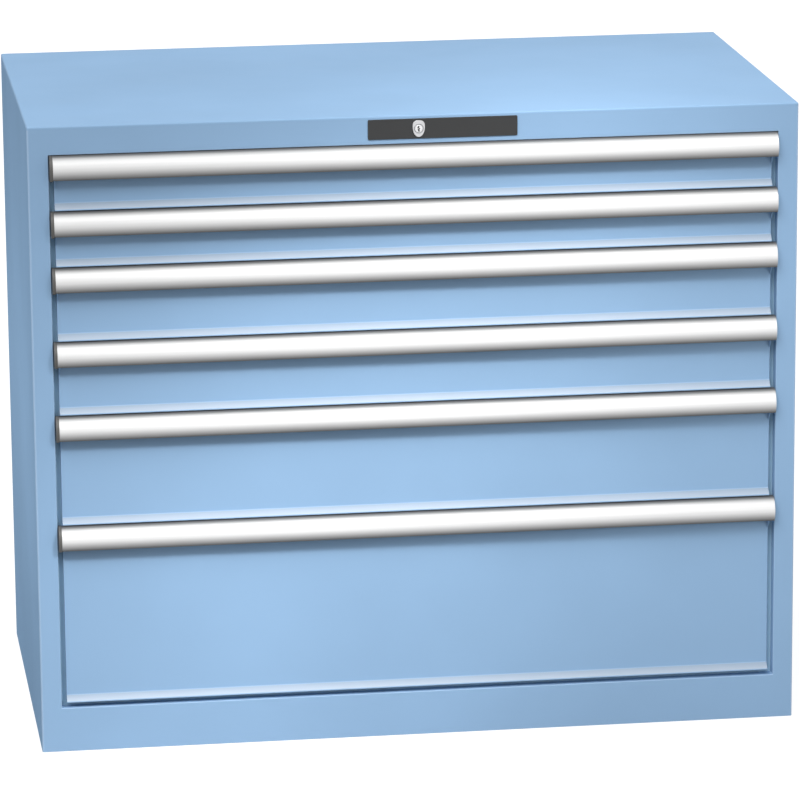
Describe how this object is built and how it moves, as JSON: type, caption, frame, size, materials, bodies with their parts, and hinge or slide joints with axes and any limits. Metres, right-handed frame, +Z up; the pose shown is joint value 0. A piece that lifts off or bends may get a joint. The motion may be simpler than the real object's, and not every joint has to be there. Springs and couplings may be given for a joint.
{
  "type": "modular drawer cabinet",
  "caption": "Low steel drawer cabinet with full width curved aluminium grips, graduated drawer fronts on full extension roller slides, and a central key lock in the top fascia.",
  "frame": {"origin": "floor level, in the middle of the overall footprint, handles included", "axes": "+X to the right along the width, +Y to the rear, +Z up; the drawers open towards -Y"},
  "size_m": [1.023, 0.5844, 0.85],
  "materials": {
    "blue_paint": "light blue powder coat, satin",
    "grey_paint": "light grey powder coat, satin",
    "zinc_steel": "zinc plated sheet steel",
    "anodised_aluminium": "natural anodised, fine brushed",
    "cap_plastic": "fine textured dark grey plastic",
    "dark_plastic": "fine textured anthracite plastic",
    "lock_metal": "satin nickel",
    "roller_plastic": "natural white polyamide"
  },
  "bodies": {
    "cabinet": {"left_side_wall": "blue_paint", "right_side_wall": "blue_paint", "rear_wall": "blue_paint", "top_panel": "blue_paint", "bottom_panel": "blue_paint", "front_frame": "blue_paint", "slotted_uprights": "zinc_steel", "cabinet_rails": "zinc_steel", "lock_panel": "dark_plastic", "lock_cylinder": "lock_metal"},
    "drawer_1": {"drawer_1_tray": "grey_paint", "drawer_1_front": "blue_paint", "drawer_1_handle": "anodised_aluminium", "drawer_1_handle_caps": "cap_plastic", "drawer_1_rails": "zinc_steel"},
    "carriage_1": {"drawer_1_carriage": "zinc_steel"},
    "front_rollers_1": {"drawer_1_front_rollers": "roller_plastic"},
    "rear_rollers_1": {"drawer_1_rear_rollers": "roller_plastic"},
    "drawer_2": {"drawer_2_tray": "grey_paint", "drawer_2_front": "blue_paint", "drawer_2_handle": "anodised_aluminium", "drawer_2_handle_caps": "cap_plastic", "drawer_2_rails": "zinc_steel"},
    "carriage_2": {"drawer_2_carriage": "zinc_steel"},
    "front_rollers_2": {"drawer_2_front_rollers": "roller_plastic"},
    "rear_rollers_2": {"drawer_2_rear_rollers": "roller_plastic"},
    "drawer_3": {"drawer_3_tray": "grey_paint", "drawer_3_front": "blue_paint", "drawer_3_handle": "anodised_aluminium", "drawer_3_handle_caps": "cap_plastic", "drawer_3_rails": "zinc_steel"},
    "carriage_3": {"drawer_3_carriage": "zinc_steel"},
    "front_rollers_3": {"drawer_3_front_rollers": "roller_plastic"},
    "rear_rollers_3": {"drawer_3_rear_rollers": "roller_plastic"},
    "drawer_4": {"drawer_4_tray": "grey_paint", "drawer_4_front": "blue_paint", "drawer_4_handle": "anodised_aluminium", "drawer_4_handle_caps": "cap_plastic", "drawer_4_rails": "zinc_steel"},
    "carriage_4": {"drawer_4_carriage": "zinc_steel"},
    "front_rollers_4": {"drawer_4_front_rollers": "roller_plastic"},
    "rear_rollers_4": {"drawer_4_rear_rollers": "roller_plastic"},
    "drawer_5": {"drawer_5_tray": "grey_paint", "drawer_5_front": "blue_paint", "drawer_5_handle": "anodised_aluminium", "drawer_5_handle_caps": "cap_plastic", "drawer_5_rails": "zinc_steel"},
    "carriage_5": {"drawer_5_carriage": "zinc_steel"},
    "front_rollers_5": {"drawer_5_front_rollers": "roller_plastic"},
    "rear_rollers_5": {"drawer_5_rear_rollers": "roller_plastic"},
    "drawer_6": {"drawer_6_tray": "grey_paint", "drawer_6_front": "blue_paint", "drawer_6_handle": "anodised_aluminium", "drawer_6_handle_caps": "cap_plastic", "drawer_6_rails": "zinc_steel"},
    "carriage_6": {"drawer_6_carriage": "zinc_steel"},
    "front_rollers_6": {"drawer_6_front_rollers": "roller_plastic"},
    "rear_rollers_6": {"drawer_6_rear_rollers": "roller_plastic"},
    "lock_rotor": {"lock_rotor": "lock_metal"},
    "lock_bar": {"lock_bar": "zinc_steel"}
  },
  "joints": [
    {"name": "drawer_1_slide", "type": "slide", "parent": "cabinet", "child": "drawer_1", "axis": [0, -1, 0], "range_m": [0, 0.459]},
    {"name": "carriage_1_slide", "type": "slide", "parent": "cabinet", "child": "carriage_1", "axis": [0, -1, 0], "range_m": [0, 0.2295]},
    {"name": "front_rollers_1_spin", "type": "hinge", "parent": "carriage_1", "child": "front_rollers_1", "pos_m": [0, -0.2198, 0.757], "axis": [1, 0, 0], "continuous": true},
    {"name": "rear_rollers_1_spin", "type": "hinge", "parent": "carriage_1", "child": "rear_rollers_1", "pos_m": [0, 0.0127, 0.757], "axis": [1, 0, 0], "continuous": true},
    {"name": "drawer_2_slide", "type": "slide", "parent": "cabinet", "child": "drawer_2", "axis": [0, -1, 0], "range_m": [0, 0.459]},
    {"name": "carriage_2_slide", "type": "slide", "parent": "cabinet", "child": "carriage_2", "axis": [0, -1, 0], "range_m": [0, 0.2295]},
    {"name": "front_rollers_2_spin", "type": "hinge", "parent": "carriage_2", "child": "front_rollers_2", "pos_m": [0, -0.2198, 0.682], "axis": [1, 0, 0], "continuous": true},
    {"name": "rear_rollers_2_spin", "type": "hinge", "parent": "carriage_2", "child": "rear_rollers_2", "pos_m": [0, 0.0127, 0.682], "axis": [1, 0, 0], "continuous": true},
    {"name": "drawer_3_slide", "type": "slide", "parent": "cabinet", "child": "drawer_3", "axis": [0, -1, 0], "range_m": [0, 0.459]},
    {"name": "carriage_3_slide", "type": "slide", "parent": "cabinet", "child": "carriage_3", "axis": [0, -1, 0], "range_m": [0, 0.2295]},
    {"name": "front_rollers_3_spin", "type": "hinge", "parent": "carriage_3", "child": "front_rollers_3", "pos_m": [0, -0.2198, 0.582], "axis": [1, 0, 0], "continuous": true},
    {"name": "rear_rollers_3_spin", "type": "hinge", "parent": "carriage_3", "child": "rear_rollers_3", "pos_m": [0, 0.0127, 0.582], "axis": [1, 0, 0], "continuous": true},
    {"name": "drawer_4_slide", "type": "slide", "parent": "cabinet", "child": "drawer_4", "axis": [0, -1, 0], "range_m": [0, 0.459]},
    {"name": "carriage_4_slide", "type": "slide", "parent": "cabinet", "child": "carriage_4", "axis": [0, -1, 0], "range_m": [0, 0.2295]},
    {"name": "front_rollers_4_spin", "type": "hinge", "parent": "carriage_4", "child": "front_rollers_4", "pos_m": [0, -0.2198, 0.482], "axis": [1, 0, 0], "continuous": true},
    {"name": "rear_rollers_4_spin", "type": "hinge", "parent": "carriage_4", "child": "rear_rollers_4", "pos_m": [0, 0.0127, 0.482], "axis": [1, 0, 0], "continuous": true},
    {"name": "drawer_5_slide", "type": "slide", "parent": "cabinet", "child": "drawer_5", "axis": [0, -1, 0], "range_m": [0, 0.459]},
    {"name": "carriage_5_slide", "type": "slide", "parent": "cabinet", "child": "carriage_5", "axis": [0, -1, 0], "range_m": [0, 0.2295]},
    {"name": "front_rollers_5_spin", "type": "hinge", "parent": "carriage_5", "child": "front_rollers_5", "pos_m": [0, -0.2198, 0.332], "axis": [1, 0, 0], "continuous": true},
    {"name": "rear_rollers_5_spin", "type": "hinge", "parent": "carriage_5", "child": "rear_rollers_5", "pos_m": [0, 0.0127, 0.332], "axis": [1, 0, 0], "continuous": true},
    {"name": "drawer_6_slide", "type": "slide", "parent": "cabinet", "child": "drawer_6", "axis": [0, -1, 0], "range_m": [0, 0.459]},
    {"name": "carriage_6_slide", "type": "slide", "parent": "cabinet", "child": "carriage_6", "axis": [0, -1, 0], "range_m": [0, 0.2295]},
    {"name": "front_rollers_6_spin", "type": "hinge", "parent": "carriage_6", "child": "front_rollers_6", "pos_m": [0, -0.2198, 0.082], "axis": [1, 0, 0], "continuous": true},
    {"name": "rear_rollers_6_spin", "type": "hinge", "parent": "carriage_6", "child": "rear_rollers_6", "pos_m": [0, 0.0127, 0.082], "axis": [1, 0, 0], "continuous": true},
    {"name": "lock_turn", "type": "hinge", "parent": "cabinet", "child": "lock_rotor", "pos_m": [0.0025, -0.2798, 0.83195], "axis": [0, 1, 0], "range_deg": [0, 90]},
    {"name": "lock_bar_lift", "type": "slide", "parent": "cabinet", "child": "lock_bar", "axis": [0, 0, -1], "range_m": [0, 0.01]}
  ],
  "couplings": [
    {"joint": "carriage_1_slide", "follows": "drawer_1_slide", "ratio": 0.5},
    {"joint": "front_rollers_1_spin", "follows": "drawer_1_slide", "rad_per_m": 55.556},
    {"joint": "rear_rollers_1_spin", "follows": "drawer_1_slide", "rad_per_m": 55.556},
    {"joint": "carriage_2_slide", "follows": "drawer_2_slide", "ratio": 0.5},
    {"joint": "front_rollers_2_spin", "follows": "drawer_2_slide", "rad_per_m": 55.556},
    {"joint": "rear_rollers_2_spin", "follows": "drawer_2_slide", "rad_per_m": 55.556},
    {"joint": "carriage_3_slide", "follows": "drawer_3_slide", "ratio": 0.5},
    {"joint": "front_rollers_3_spin", "follows": "drawer_3_slide", "rad_per_m": 55.556},
    {"joint": "rear_rollers_3_spin", "follows": "drawer_3_slide", "rad_per_m": 55.556},
    {"joint": "carriage_4_slide", "follows": "drawer_4_slide", "ratio": 0.5},
    {"joint": "front_rollers_4_spin", "follows": "drawer_4_slide", "rad_per_m": 55.556},
    {"joint": "rear_rollers_4_spin", "follows": "drawer_4_slide", "rad_per_m": 55.556},
    {"joint": "carriage_5_slide", "follows": "drawer_5_slide", "ratio": 0.5},
    {"joint": "front_rollers_5_spin", "follows": "drawer_5_slide", "rad_per_m": 55.556},
    {"joint": "rear_rollers_5_spin", "follows": "drawer_5_slide", "rad_per_m": 55.556},
    {"joint": "carriage_6_slide", "follows": "drawer_6_slide", "ratio": 0.5},
    {"joint": "front_rollers_6_spin", "follows": "drawer_6_slide", "rad_per_m": 55.556},
    {"joint": "rear_rollers_6_spin", "follows": "drawer_6_slide", "rad_per_m": 55.556},
    {"joint": "lock_turn", "follows": "lock_bar_lift", "rad_per_m": 157.08}
  ]
}
